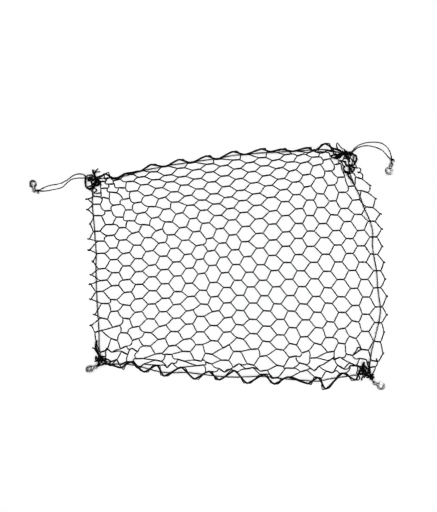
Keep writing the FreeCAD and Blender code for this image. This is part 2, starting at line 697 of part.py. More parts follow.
UPPER_ROUTE = route(
    (ON_FLOOR, ((-566, 272), (-542, 279), (-515, 282), (-488, 295), (-466, 314))),
    (NECK_HEIGHT, ((-440, 318),)),
) + through("top_left", -1, 0.8) + route(
    (OVER_NET, ((-380, 300), (-350, 303), (-318, 303), (-275, 313), (-236, 327), (-190, 335),
                (-148, 345), (-105, 350), (-58, 358), (-10, 364), (34, 370), (71, 379), (120, 382),
                (173, 388), (220, 389), (269, 393), (318, 395), (364, 400), (410, 397))),
    (NECK_HEIGHT, ((444, 384), (474, 385))),
    (ON_FLOOR, ((494, 411), (524, 423), (556, 425), (584, 421), (604, 402), (613, 380))),
)
LOWER_ROUTE = route(
    (ON_FLOOR, ((-562, 257), (-534, 264), (-508, 268), (-490, 286), (-472, 300), (-446, 303))),
) + through("top_left", -1, -0.8) + route(
    (OVER_NET, ((-401, 262), (-404, 225), (-400, 177), (-396, 132), (-393, 88), (-389, 45),
                (-391, 0), (-390, -48), (-388, -92), (-386, -140), (-382, -186), (-380, -232),
                (-380, -276))),
) + through("bottom_left", 1, 0) + route(
    (OVER_NET, ((-352, -331), (-308, -328), (-264, -332), (-222, -343), (-178, -356), (-134, -360),
                (-90, -357), (-46, -362), (-2, -368), (42, -373), (88, -374), (134, -372),
                (180, -371), (226, -377), (272, -382), (318, -385), (364, -389), (405, -379),
                (448, -373), (496, -366))),
    (NECK_HEIGHT, ((534, -362),)),
    (OVER_NET, ((540, -324), (545, -284), (557, -240), (568, -196), (577, -150), (571, -106),
                (565, -60), (563, -14), (554, 30), (547, 74), (551, 116), (541, 156), (521, 196),
                (506, 240), (486, 280), (470, 318))),
    (NECK_HEIGHT, ((465, 356), (478, 392))),
    (ON_FLOOR, ((506, 410), (534, 413), (562, 407), (586, 395), (601, 374))),
)
for name, places in (("draw_cord_upper", UPPER_ROUTE), ("draw_cord_lower", LOWER_ROUTE)):
    ends = [knot_place(CORNERS["top_left"])] + places + [knot_place(CORNERS["top_right"])]
    cord(name, ends, size("draw_cord_diameter"))


# ---------------------------------------------------------------- checks and export
doc.recompute()
for item in doc.Objects:
    if {"Invalid", "Error"} & set(item.State):
        raise ValueError(f"{item.Label} failed: {item.State}")
for item in nodes:
    if item.Shape.isNull() or not item.Shape.isValid():
        raise ValueError(f"{item.Label} has no valid shape")
    print(f"{item.Label}: {len(item.Shape.Solids)} solid(s), {item.Shape.Volume:.0f} mm3")
for item in nodes:
    item.Shape.exportStep(f"parts/{item.Label}.step")
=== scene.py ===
"""Looks of a corner hay net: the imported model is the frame, and every soft piece is laid over it.
Metres, +Z up, the net lying on z = 0 with its middle at the origin."""
import math
import bpy
import numpy as np
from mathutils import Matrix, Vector


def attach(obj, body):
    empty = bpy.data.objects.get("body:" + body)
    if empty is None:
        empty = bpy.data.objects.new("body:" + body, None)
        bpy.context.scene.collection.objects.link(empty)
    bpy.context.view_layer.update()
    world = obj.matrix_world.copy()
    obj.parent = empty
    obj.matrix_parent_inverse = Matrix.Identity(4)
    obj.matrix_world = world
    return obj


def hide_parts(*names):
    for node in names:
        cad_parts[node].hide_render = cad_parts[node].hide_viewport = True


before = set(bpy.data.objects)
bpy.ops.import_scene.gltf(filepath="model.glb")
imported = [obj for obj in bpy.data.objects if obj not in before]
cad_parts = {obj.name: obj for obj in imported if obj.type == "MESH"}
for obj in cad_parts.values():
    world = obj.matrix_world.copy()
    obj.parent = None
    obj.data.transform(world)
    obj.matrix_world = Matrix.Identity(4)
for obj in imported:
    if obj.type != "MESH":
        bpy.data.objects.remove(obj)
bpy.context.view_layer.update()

bpy.ops.object.select_all(action="DESELECT")
scene = bpy.context.scene

# ---------------------------------------------------------------- camera
# A camera straight above the lying net, far enough back for little perspective.
VIEW_HEIGHT = 1.7408
LENS, SENSOR = 70.0, 36.0
camera = bpy.data.cameras.new("camera_above")
camera.lens, camera.sensor_width = LENS, SENSOR
camera.clip_end = 100
camera_object = bpy.data.objects.new("camera_above", camera)
camera_object.location = (0.0243, 0.0383, VIEW_HEIGHT * LENS / SENSOR)
scene.collection.objects.link(camera_object)
scene.camera = camera_object


# ---------------------------------------------------------------- draw cords
# Two thin braided polyester cords tied in the left lanyard's knot and again in the right one's.
# One is threaded along the top edge, the other down the left side, along the bottom and up the
# right side, in and out of the meshes.
class Value:
    """A number that changes over a surface: arithmetic on it adds Math nodes."""

    def __init__(self, finish, socket):
        self.finish, self.socket = finish, socket

    def maths(self, operation, *others):
        return self.finish.node("ShaderNodeMath", {"operation": operation},
                                dict(enumerate((self, *others))))

    def __add__(self, other):
        return self.maths("ADD", other)

    def __sub__(self, other):
        return self.maths("SUBTRACT", other)

    def __mul__(self, other):
        return self.maths("MULTIPLY", other)

    __radd__, __rmul__ = __add__, __mul__


class Finish:
    """A material with its shader and the method that adds every other node."""

    def __init__(self, name, **constants):
        self.material = bpy.data.materials.new(name)
        self.material.use_nodes = True
        self.tree = self.material.node_tree
        self.shader = self.tree.nodes["Principled BSDF"]
        for words, number in constants.items():
            socket = words.replace("_", " ").title().replace("Ior", "IOR")
            self.shader.inputs[socket].default_value = number

    def node(self, kind, settings, sockets, out=0):
        """Add a node: its settings first, then the numbers or links of its sockets."""
        made = self.tree.nodes.new(kind)
        for word, setting in settings.items():
            setattr(made, word, setting)
        for socket, given in sockets.items():
            if isinstance(given, Value):
                self.tree.links.new(given.socket, made.inputs[socket])
            else:
                made.inputs[socket].default_value = given
        return Value(self, made.outputs[out])

    def feed(self, socket, given):
        self.tree.links.new(given.socket, self.shader.inputs[socket])

    def blend(self, share, first, second):
        """A colour between two others."""
        return self.node("ShaderNodeMix", {"data_type": "RGBA"},
                         {"Factor": share, "A": (*first, 1), "B": (*second, 1)}, "Result")

    def noise(self, scale, detail=3.0, roughness=0.55):
        place = self.node("ShaderNodeTexCoord", {}, {}, "Object")
        return self.node("ShaderNodeTexNoise", {}, {"Vector": place, "Scale": scale,
                                                    "Detail": detail, "Roughness": roughness})

    def bump(self, height, distance):
        self.feed("Normal", self.node("ShaderNodeBump", {}, {
            "Strength": 1.0, "Distance": distance, "Height": height}))


def braided(name, dark, light, rough, strands, pitch, relief):
    """Braided yarn: two sets of strands that cross, and cross again with each pitch of length."""
    finish = Finish(name, specular_ior_level=0.22, sheen_weight=0.02, sheen_roughness=0.4)
    across = finish.node("ShaderNodeUVMap", {"uv_map": "UVMap"}, {})
    around = finish.node("ShaderNodeSeparateXYZ", {}, {0: across}, "X")
    along = finish.node("ShaderNodeSeparateXYZ", {}, {0: across}, "Y")
    turn = 2 * math.pi
    left = (around * (turn * strands) + along * (turn / pitch)).maths("SINE")
    right = (around * (turn * strands) - along * (turn / pitch)).maths("SINE")
    ridge = left.maths("MAXIMUM", right)
    fibre = (around * (turn * strands * 7) + along * (turn * 2 / pitch)).maths("SINE")
    height = ridge + fibre * 0.12
    worn = finish.noise(38.0)
    # Painted shade: the grooves between the strands are darker and the crests lighter, mixed with
    # tone that differs at random.
    share = (ridge * 0.5 + 0.5) * 0.45 + worn * 0.55
    finish.feed("Base Color", finish.blend(share, dark, light))
    finish.feed("Roughness", worn * 0.22 + rough)
    finish.bump(height, relief)
    return finish


def line_of(points, resolution=8):
    """The points that an open NURBS line through a route's points follows."""
    curve = bpy.data.curves.new("route", "CURVE")
    curve.dimensions = "3D"
    curve.resolution_u = resolution
    spline = curve.splines.new("NURBS")
    spline.points.add(len(points) - 1)
    for place, point in zip(points, spline.points):
        point.co = (*place, 1)
    spline.order_u = 3
    spline.use_endpoint_u = True
    holder = bpy.data.objects.new("route", curve)
    mesh = bpy.data.meshes.new_from_object(holder)
    line = [vertex.co.copy() for vertex in mesh.vertices]
    bpy.data.objects.remove(holder)
    bpy.data.meshes.remove(mesh)
    bpy.data.curves.remove(curve)
    return line


def tubes(name, lines, radii, sides, finish):
    """Round cords along lines of points as one mesh. A UV of each: round it, and metres along."""
    places, faces, wraps = [], [], []
    for line, widths in zip(lines, radii):
        steps = [after - before for before, after in zip(line, line[1:])]
        start, travelled = len(places), 0.0
        side = steps[0].orthogonal().normalized()
        for k, point in enumerate(line):
            ahead = (steps[max(k - 1, 0)].normalized() + steps[min(k, len(steps) - 1)].normalized())
            ahead = (ahead if ahead.length > 1e-6 else steps[min(k, len(steps) - 1)]).normalized()
            side = (side - ahead * side.dot(ahead)).normalized()
            other = ahead.cross(side)
            width = widths if isinstance(widths, float) else widths[k]
            for turn in range(sides):
                angle = 2 * math.pi * turn / sides
                places.append(point + (side * math.cos(angle) + other * math.sin(angle)) * width)
            if k:
                before, here = start + (k - 1) * sides, start + k * sides
                length = steps[k - 1].length
                for turn in range(sides):
                    after = (turn + 1) % sides
                    faces.append((before + turn, before + after, here + after, here + turn))
                    low, high = turn / sides, (turn + 1) / sides
                    wraps += [(low, travelled), (high, travelled),
                              (high, travelled + length), (low, travelled + length)]
                travelled += length
        for ring, order in ((start, -1), (len(places) - sides, 1)):
            faces.append(tuple(range(ring, ring + sides))[::order])
            wraps += [(0.5, 0.0)] * sides
    mesh = bpy.data.meshes.new(name)
    mesh.from_pydata(places, [], faces)
    mesh.uv_layers.new(name="UVMap").data.foreach_set("uv", np.array(wraps, np.float32).ravel())
    mesh.polygons.foreach_set("use_smooth", [len(face) == 4 for face in faces])
    mesh.materials.append(finish.material)
    piece = bpy.data.objects.new(name, mesh)
    scene.collection.objects.link(piece)
    return piece


DRAW_DIAMETER = 0.0025
KNOT_AT = 0.0135            # knot from the cord's bend in the snap's eye
NECK_LENGTH = 0.009         # from a lashed neck's middle to where its bunch opens
MIDDLE = Vector((0.0012, -0.0009, 0))   # of the whole net, among the places below
# Heights of a draw cord's middle: on the floor, over the edge cords and through a lashed neck.
ON_FLOOR, OVER_NET, AT_NECK = 0.00135, 0.00655, 0.0086
# Each corner: the bend of its cord in the snap's eye and its height, the way its cord leaves it,
# and the lashed neck of its bunch with the way the bunch opens.
CORNERS = {
    "top_left": {"bend": (-0.600, 0.258, 0.008475), "lead": 2,
                 "neck": (-0.412, 0.298), "flare": -35},
    "top_right": {"bend": (0.613, 0.350, 0.006003), "lead": 88,
                  "neck": (0.472, 0.384), "flare": 212},
    "bottom_left": {"bend": (-0.389, -0.338, 0.010598), "lead": 50,
                    "neck": (-0.376, -0.313), "flare": 75},
    "bottom_right": {"bend": (0.555, -0.394, 0.0047), "lead": 133,
                     "neck": (0.546, -0.376), "flare": 140},
}


def direction(degrees):
    return Vector((math.cos(math.radians(degrees)), math.sin(math.radians(degrees)), 0))


def route(*stretches):
    """Places on one level after another: each stretch is a height and its (x, y) list."""
    return [Vector((x, y, height)) - MIDDLE for height, places in stretches for x, y in places]


def neck_place(corner, away=0.0):
    """A place on the middle line of a lashed neck, this far from it towards the panel."""
    middle = Vector((*CORNERS[corner]["neck"], AT_NECK)) - MIDDLE
    return middle + direction(CORNERS[corner]["flare"]) * away


def through(corner, first_side, beside):
    """Two places that take a cord straight through a lashed neck, from one side to the other."""
    shift = direction(CORNERS[corner]["flare"] + 90) * (beside * DRAW_DIAMETER)
    return [neck_place(corner, first_side * away) + shift for away in (NECK_LENGTH, -NECK_LENGTH)]


def knot_place(corner):
    return Vector(CORNERS[corner]["bend"]) - MIDDLE + direction(CORNERS[corner]["lead"]) * KNOT_AT


UPPER_ROUTE = route(
    (ON_FLOOR, ((-0.566, 0.272), (-0.542, 0.279), (-0.515, 0.282), (-0.488, 0.295),
                (-0.466, 0.314))),
    (AT_NECK, ((-0.440, 0.318),)),
) + through("top_left", -1, 0.8) + route(
    (OVER_NET, ((-0.380, 0.300), (-0.350, 0.303), (-0.318, 0.303), (-0.275, 0.313), (-0.236, 0.327),
                (-0.190, 0.335), (-0.148, 0.345), (-0.105, 0.350), (-0.058, 0.358), (-0.010, 0.364),
                (0.034, 0.370), (0.071, 0.379), (0.120, 0.382), (0.173, 0.388), (0.220, 0.389),
                (0.269, 0.393), (0.318, 0.395), (0.364, 0.400), (0.410, 0.397))),
    (AT_NECK, ((0.444, 0.384), (0.474, 0.385))),
    (ON_FLOOR, ((0.494, 0.411), (0.524, 0.423), (0.556, 0.425), (0.584, 0.421), (0.604, 0.402),
                (0.613, 0.380))),
)
LOWER_ROUTE = route(
    (ON_FLOOR, ((-0.562, 0.257), (-0.534, 0.264), (-0.508, 0.268), (-0.490, 0.286),
                (-0.472, 0.300), (-0.446, 0.303))),
) + through("top_left", -1, -0.8) + route(
    (OVER_NET, ((-0.401, 0.262), (-0.404, 0.225), (-0.400, 0.177), (-0.396, 0.132), (-0.393, 0.088),
                (-0.389, 0.045), (-0.391, 0.000), (-0.390, -0.048), (-0.388, -0.092),
                (-0.386, -0.140), (-0.382, -0.186), (-0.380, -0.232), (-0.380, -0.276))),
) + through("bottom_left", 1, 0) + route(
    (OVER_NET, ((-0.352, -0.331), (-0.308, -0.328), (-0.264, -0.332), (-0.222, -0.343),
                (-0.178, -0.356), (-0.134, -0.360), (-0.090, -0.357), (-0.046, -0.362),
                (-0.002, -0.368), (0.042, -0.373), (0.088, -0.374), (0.134, -0.372),
                (0.180, -0.371),
                (0.226, -0.377), (0.272, -0.382), (0.318, -0.385), (0.364, -0.389), (0.405, -0.379),
                (0.448, -0.373), (0.496, -0.366))),
    (AT_NECK, ((0.534, -0.362),)),
    (OVER_NET, ((0.540, -0.324), (0.545, -0.284), (0.557, -0.240), (0.568, -0.196), (0.577, -0.150),
                (0.571, -0.106), (0.565, -0.060), (0.563, -0.014), (0.554, 0.030), (0.547, 0.074),
                (0.551, 0.116), (0.541, 0.156), (0.521, 0.196), (0.506, 0.240), (0.486, 0.280),
                (0.470, 0.318))),
    (AT_NECK, ((0.465, 0.356), (0.478, 0.392))),
    (ON_FLOOR, ((0.506, 0.410), (0.534, 0.413), (0.562, 0.407), (0.586, 0.395), (0.601, 0.374))),
)
draw_cord_finish = braided("braided_draw_cord", (0.006, 0.006, 0.007), (0.028, 0.028, 0.030), 0.42,
                           4, 0.0032, 0.00012)
ROUND_SIDES = 10
for name, places, length in (("draw_cord_upper", UPPER_ROUTE, 1.283),
                             ("draw_cord_lower", LOWER_ROUTE, 2.660)):
    points = [knot_place("top_left")] + places + [knot_place("top_right")]
    line = line_of(points)
    cord = tubes(name + "_braid", [line], [DRAW_DIAMETER / 2], ROUND_SIDES, draw_cord_finish)
    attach(cord, "net")
    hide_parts(name)

# ---------------------------------------------------------------- snap loops
# The same cord goes over the bar of each snap's eye and back through its hole; on the lanyards
# both legs end in a stopper knot, and at the lower corners in the lashed bunch.
EYE_BAR, CLEARANCE = 0.0018, 0.0003
LEGS_APART, LEGS_CLOSE = 0.6, 0.6   # of the cord's diameter, and of the knot's distance
LOOP_RESOLUTION = 12
for name, corner in CORNERS.items():
    lanyard = name.startswith("top")
    reach = Vector((0, 0, EYE_BAR + CLEARANCE + DRAW_DIAMETER / 2))
    bend, away = Vector(corner["bend"]) - MIDDLE, direction(corner["lead"])
    anchor = knot_place(name) if lanyard else neck_place(name)
    apart, step = Vector((0, 0, DRAW_DIAMETER * LEGS_APART)), away * (KNOT_AT * LEGS_CLOSE)
    points = [anchor + apart, bend + step + reach, bend + reach,
              bend - reach, bend + step - reach, anchor - apart]
    line = line_of(points, LOOP_RESOLUTION)
    length = sum((after - before).length for before, after in zip(line, line[1:]))
    loop = tubes(f"snap_loop_{name}_braid", [line], [DRAW_DIAMETER / 2], ROUND_SIDES,
                 draw_cord_finish)
    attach(loop, "net")
    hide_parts(f"snap_loop_{name}")

# ---------------------------------------------------------------- netting
# Knotless netting of black knitted polyester yarns. Each yarn runs from the left cut edge to the
# right one, and is knitted together with its neighbour above, then with the one below, so that
# level joints of two yarns alternate with single slanting strands and leave six-sided meshes.
GRID_COLUMNS = (-1, 3, 7, 11, 15, 19, 23)
GRID_ROWS = {
    0.0: ((-0.411, 0.296), (-0.323, 0.316), (-0.150, 0.357), (0.031, 0.384), (0.207, 0.401),
          (0.364, 0.411), (0.466, 0.391)),
    1.5: ((-0.411, 0.282), (-0.316, 0.299), (-0.146, 0.316), (0.044, 0.343), (0.221, 0.364),
          (0.381, 0.388), (0.479, 0.371)),
    3.0: ((-0.418, 0.255), (-0.296, 0.252), (-0.133, 0.275), (0.048, 0.292), (0.235, 0.320),
          (0.398, 0.350), (0.507, 0.337)),
    6.0: ((-0.418, 0.122), (-0.262, 0.136), (-0.102, 0.160), (0.068, 0.180), (0.255, 0.197),
          (0.415, 0.201), (0.578, 0.207)),
    9.0: ((-0.415, -0.003), (-0.245, 0.007), (-0.075, 0.020), (0.082, 0.034), (0.255, 0.041),
          (0.432, 0.044), (0.595, 0.044)),
    12.0: ((-0.411, -0.129), (-0.245, -0.129), (-0.071, -0.126), (0.099, -0.122), (0.272, -0.122),
           (0.445, -0.129), (0.612, -0.129)),
    15.0: ((-0.401, -0.265), (-0.258, -0.269), (-0.085, -0.265), (0.095, -0.272), (0.279, -0.289),
           (0.442, -0.286), (0.588, -0.313)),
    16.5: ((-0.388, -0.303), (-0.272, -0.316), (-0.099, -0.320), (0.085, -0.343), (0.265, -0.354),
           (0.445, -0.337), (0.558, -0.347)),
    18.0: ((-0.384, -0.323), (-0.282, -0.343), (-0.102, -0.364), (0.082, -0.377), (0.262, -0.394),
           (0.449, -0.388), (0.530, -0.360)),
}
# The first and last joint of each column lies on the top or bottom edge cord, which waves.
TOP_JOINTS = (
    (-0.385, 0.297), (-0.374, 0.309), (-0.360, 0.316), (-0.328, 0.300), (-0.283, 0.319),
    (-0.243, 0.325), (-0.202, 0.348), (-0.158, 0.341), (-0.107, 0.365), (-0.068, 0.354),
    (-0.015, 0.377), (0.021, 0.366), (0.075, 0.392), (0.114, 0.382), (0.172, 0.401),
    (0.203, 0.392), (0.240, 0.400), (0.278, 0.393), (0.327, 0.405), (0.351, 0.395),
    (0.388, 0.419), (0.419, 0.402), (0.437, 0.412),
)
BOTTOM_JOINTS = (
    (-0.375, -0.319), (-0.351, -0.329), (-0.307, -0.342), (-0.273, -0.323), (-0.227, -0.356),
    (-0.185, -0.334), (-0.159, -0.370), (-0.102, -0.341), (-0.056, -0.380), (-0.008, -0.355),
    (0.028, -0.383), (0.080, -0.353), (0.123, -0.395), (0.179, -0.366), (0.215, -0.397),
    (0.261, -0.374), (0.329, -0.396), (0.364, -0.376), (0.390, -0.414), (0.448, -0.361),
    (0.490, -0.383), (0.506, -0.363), (0.516, -0.339),
)
EDGE_DIAMETER = 0.005
LAST_COLUMN, LAST_ROW = 22, 18
JOINT_LENGTH, STRAND_LENGTH, STUB_LENGTH = 0.025, 0.0322, 0.008
RIM_BOW = 0.006             # how far the right rim's strands bow outwards
JOINT_SHARE = JOINT_LENGTH / 2 / (1.020 / 24)
YARN_RADIUS, JOINT_YARN_RADIUS = 0.00150, 0.00118
RESTING = 0.0018            # height of a yarn that lies on the floor
HIGHEST = 0.016             # and of the highest one in a crumpled place
RIGHT_SLACK = 0.75          # least slack in the last columns
LEFT_STRAY, CORNER_STRAY = 0.0030, 0.0050   # more straying at the left rim and the last corner
CORNER_REACH = 8            # how many steps the last corner's straying reaches
CRUMPLED_ROW = 14.5         # from here down, strands start with a larger wobble
SMOOTH_WOBBLE, CRUMPLED_WOBBLE = 0.0006, 0.0016
chance = np.random.default_rng(20)


def smooth(stations, values, where):
    """The value at one station of a smooth curve through unevenly spaced ones."""
    span = 0
    while span < len(stations) - 2 and where > stations[span + 1]:
        span += 1

    def slope(k):
        low, high = max(k - 1, 0), min(k + 1, len(stations) - 1)
        return (values[high] - values[low]) / (stations[high] - stations[low])

    width = stations[span + 1] - stations[span]
    t = (where - stations[span]) / width
    return (values[span] * (2 * t**3 - 3 * t**2 + 1) + slope(span) * width * (t**3 - 2 * t**2 + t)
            + values[span + 1] * (3 * t**2 - 2 * t**3) + slope(span + 1) * width * (t**3 - t**2))


def net_point(column, row):
    """Where a place of the netting lies: columns count to the right, rows down."""
    across = [smooth(GRID_COLUMNS, [Vector((*place, RESTING)) - MIDDLE for place in line], column)
              for line in GRID_ROWS.values()]
    return smooth(list(GRID_ROWS), across, row)


def column_rows(column):
    """The rows of the joints in a column: every other column sits half a row lower."""
    if column % 2 == 0:
        return [float(row) for row in range(LAST_ROW + 1)]
    return [row + 0.5 for row in range(LAST_ROW)]


def edge_joint(column, row):
    """Where an edge cord holds a joint, or None for a joint inside the net."""
    for places, rim_row in ((TOP_JOINTS, column_rows(column)[0]),
                            (BOTTOM_JOINTS, column_rows(column)[-1])):
        if row == rim_row and 0 <= column <= LAST_COLUMN:
            return Vector((*places[column], EDGE_DIAMETER / 2)) - MIDDLE
    return None


def slack_at(column, row):
    """How much of a strand's spare length the lying net keeps.

    The crumpled lower rows and the meshes about the draw cord on the right keep the most.
    """
    level = smooth((0, 3, 6, 12, 15, 18), (0.16, 0.16, 0.30, 0.42, 0.70, 0.85), row)
    return max(level, RIGHT_SLACK) if column >= LAST_COLUMN - 1 else level


def crumple_at(column, row):
    """How far a joint strays from the even net: most along the bottom and at its right corner."""
    low = smooth((0, 6, 12, 14.5, 16, 18), (0.0014, 0.0019, 0.0021, 0.0034, 0.0066, 0.0055), row)
    steps_away = math.hypot(column - LAST_COLUMN, 2 * (row - LAST_ROW))
    corner = max(0.0, 1 - steps_away / CORNER_REACH)
    rim = LEFT_STRAY if column < 1 else 0.0
    return low + rim + CORNER_STRAY * corner


# The knots of a soft-body net: joint ends, joint middles and three places on each strand.
knots, legs, bows, held = [], [], [], []
end_number, joint_run, strand_run = {}, {}, {}


def hang(first, last, parts, length, wobble):
    """A run of knots between two others, with the rest length of each step."""
    numbers = [first]
    for k in range(1, parts):
        numbers.append(len(knots))
        offset = chance.normal(0, wobble, 3)
        knots.append(knots[first].lerp(knots[last], k / parts)
                     + Vector((offset[0], offset[1], abs(offset[2]) * 2)))
    numbers.append(last)
    legs.extend((a, b, length / parts) for a, b in zip(numbers, numbers[1:]))
    bows.extend(zip(numbers, numbers[1:], numbers[2:]))
    return numbers


strays = {(column, row): Vector((*chance.normal(0, crumple_at(column, row), 2), 0))
          for column in range(-1, LAST_COLUMN + 2) for row in column_rows(column)}
for column in range(-1, LAST_COLUMN + 2):
    for row in column_rows(column):
        for side in (-1, 1):
            if -1 <= column + side * 0.5 <= LAST_COLUMN + 1:
                end_number[column, row, side] = len(knots)
                knots.append(net_point(column + side * JOINT_SHARE, row))
                if column > LAST_COLUMN:
                    knots[-1] -= Vector((RIM_BOW, 0, 0))
                if edge_joint(column, row) is not None:
                    knots[-1] += edge_joint(column, row) - net_point(column, row)
                else:
                    knots[-1] += strays[column, row]
for column in range(LAST_COLUMN + 1):
    for row in column_rows(column):
        run = hang(end_number[column, row, -1], end_number[column, row, 1], 2, JOINT_LENGTH, 0.0)
        joint_run[column, row] = run
        held.append(run[1])
for column in range(-1, LAST_COLUMN + 1):
    for row in column_rows(column):
        for next_row in (row - 0.5, row + 0.5):
            if (column + 1, next_row, -1) in end_number:
                first, last = end_number[column, row, 1], end_number[column + 1, next_row, -1]
                laid = (knots[first] - knots[last]).length
                spare = max(0.0, min(STRAND_LENGTH, 2 * laid) - laid)
                length = laid + slack_at(column, row) * spare
                wobble = SMOOTH_WOBBLE if row < CRUMPLED_ROW else CRUMPLED_WOBBLE
                run = hang(first, last, 4, length, wobble)
                strand_run[column, row, next_row] = run
                if column == LAST_COLUMN:
                    for number in run[1:-1]:
                        knots[number] += Vector((RIM_BOW, 0, 0))

place = np.array([tuple(knot) for knot in knots])
low, high = (np.array([leg[k] for leg in legs]) for k in (0, 1))
rest = np.array([leg[2] for leg in legs])
before, centre, after = (np.array([bow[k] for bow in bows]) for k in (0, 1, 2))
held = np.array(held)
home = place[held].copy()
share = np.maximum(np.bincount(np.concatenate((low, high)), minlength=len(place)), 1)[:, None]


def gathered(numbers, moves):
    return np.stack([np.bincount(numbers, moves[:, axis], len(place)) for axis in range(3)], 1)


SOLVER_STEPS = 400
PULL, BEND, HOLD = 1.6, 0.09, 0.15      # shares of each fault that a step puts right
SINK = 0.00004                          # how far each step lets the net down
for _ in range(SOLVER_STEPS):
    step = place[high] - place[low]
    length = np.maximum(np.linalg.norm(step, axis=1), 1e-9)
    pull = step * (0.5 * (length - rest) / length)[:, None]
    place += (gathered(low, pull) - gathered(high, pull)) / share * PULL
    bend = ((place[before] + place[after]) / 2 - place[centre]) * BEND
    place += gathered(centre, bend) - 0.5 * (gathered(before, bend) + gathered(after, bend))
    place[held] += (home - place[held]) * HOLD
    place[:, 2] = np.clip(place[:, 2] - SINK, RESTING, HIGHEST)


def smoothed(points, steps):
    """A smooth line near its points; each is a place and a radius."""
    points = np.array([points[0], *points, points[-1]])
    first, middle, last = points[:-2], points[1:-1], points[2:]
    line = []
    for t in np.arange(steps) / steps:
        line.append(0.5 * ((1 - t)**2 * first + (1 + 2 * t - 2 * t**2) * middle + t**2 * last))
    return np.concatenate((np.stack(line, 1).reshape(-1, 4), points[-1:]))


# In a joint two yarns lie side by side, one over the other at one end and under it at the other.
SIDE_BY_SIDE, OVER_UNDER = 0.00088, 0.0006
JOINT_PLACES = ((0.0, 0.45), (0.28, 1.0), (0.72, 1.0), (1.0, 0.45))   # along it, how far apart
STUB_SHAPE = ((1.0, 0.0012), (0.8, 0.0016), (0.4, 0.0014))            # of its length, and radius
yarns = []
for number in range(2 * LAST_ROW):
    level = number / 2
    points = []
    for column in range(-1, LAST_COLUMN + 2):
        is_below = (column + number) % 2 == 0
        row = level if is_below else level + 0.5
        left = end_number.get((column, row, -1))
        right = end_number.get((column, row, 1))
        if left is None or right is None:
            end = place[right if left is None else left]
            inner = place[strand_run[column, row, row + (0.5 if is_below else -0.5)][1]] \
                if left is None else place[points_from]
            out = (end - inner) * (1, 0.3, 0) / max(np.linalg.norm((end - inner)[:2]), 1e-6)
            stub = [(*(end + out * STUB_LENGTH * part), radius) for part, radius in STUB_SHAPE]
            points += stub if left is None else []
            points.append((*end, YARN_RADIUS))
            points += stub[::-1] if left is not None else []
        else:
            run = place[joint_run[column, row]]
            along = run[2] - run[0]
            across = np.array((along[1], -along[0], 0)) / max(np.linalg.norm(along[:2]), 1e-6)
            across = across * (SIDE_BY_SIDE if is_below else -SIDE_BY_SIDE)
            for share_along, apart in JOINT_PLACES:
                spot = run[0] + along * share_along + (run[1] - (run[0] + run[2]) / 2) * \
                    (2 * min(share_along, 1 - share_along))
                lift = OVER_UNDER * (1 if (share_along < 0.5) == is_below else -0.3)
                points.append((*(spot + across * apart + (0, 0, lift)), JOINT_YARN_RADIUS))
        if column <= LAST_COLUMN:
            next_row = row + 0.5 if is_below else row - 0.5
            strand = strand_run[column, row, next_row]
            points += [(*place[k], YARN_RADIUS) for k in strand[1:-1]]
            points_from = strand[-2]
    yarns.append(smoothed(points, 2))

netting_finish = braided("knitted_netting_yarn", (0.0035, 0.0035, 0.0040), (0.014, 0.014, 0.015),
                         0.62, 3, 0.0042, 0.00016)
netting = tubes("netting_yarns", [[Vector(spot[:3]) for spot in yarn] for yarn in yarns],
                [yarn[:, 3] for yarn in yarns], 6, netting_finish)
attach(netting, "net")
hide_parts("net_panel")

# ---------------------------------------------------------------- edge cords
# A heavy braided cord is knitted into the last joints along the top and the bottom, so it runs in
# and out with them.
edge_finish = braided("braided_edge_cord", (0.005, 0.005, 0.006), (0.024, 0.024, 0.026), 0.5,
                      5, 0.0075, 0.0003)
CREST = Vector((0.005, 0, 0))       # half of the level stretch at each joint
EDGE_SIDES = 12
for name, joints, corners in (("top_edge_cord", TOP_JOINTS, ("top_left", "top_right")),
                              ("bottom_edge_cord", BOTTOM_JOINTS, ("bottom_left", "bottom_right"))):
    crests = [Vector((*spot, EDGE_DIAMETER / 2)) - MIDDLE for spot in joints[1:-1]]
    points = [spot + side for spot in crests for side in (-CREST, CREST)]
    ends = [neck_place(corner, NECK_LENGTH) for corner in corners]
    edge = tubes(name + "_braid", [line_of(ends[:1] + points + ends[1:])], [EDGE_DIAMETER / 2],
                 EDGE_SIDES, edge_finish)
    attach(edge, "net")
    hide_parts(name)

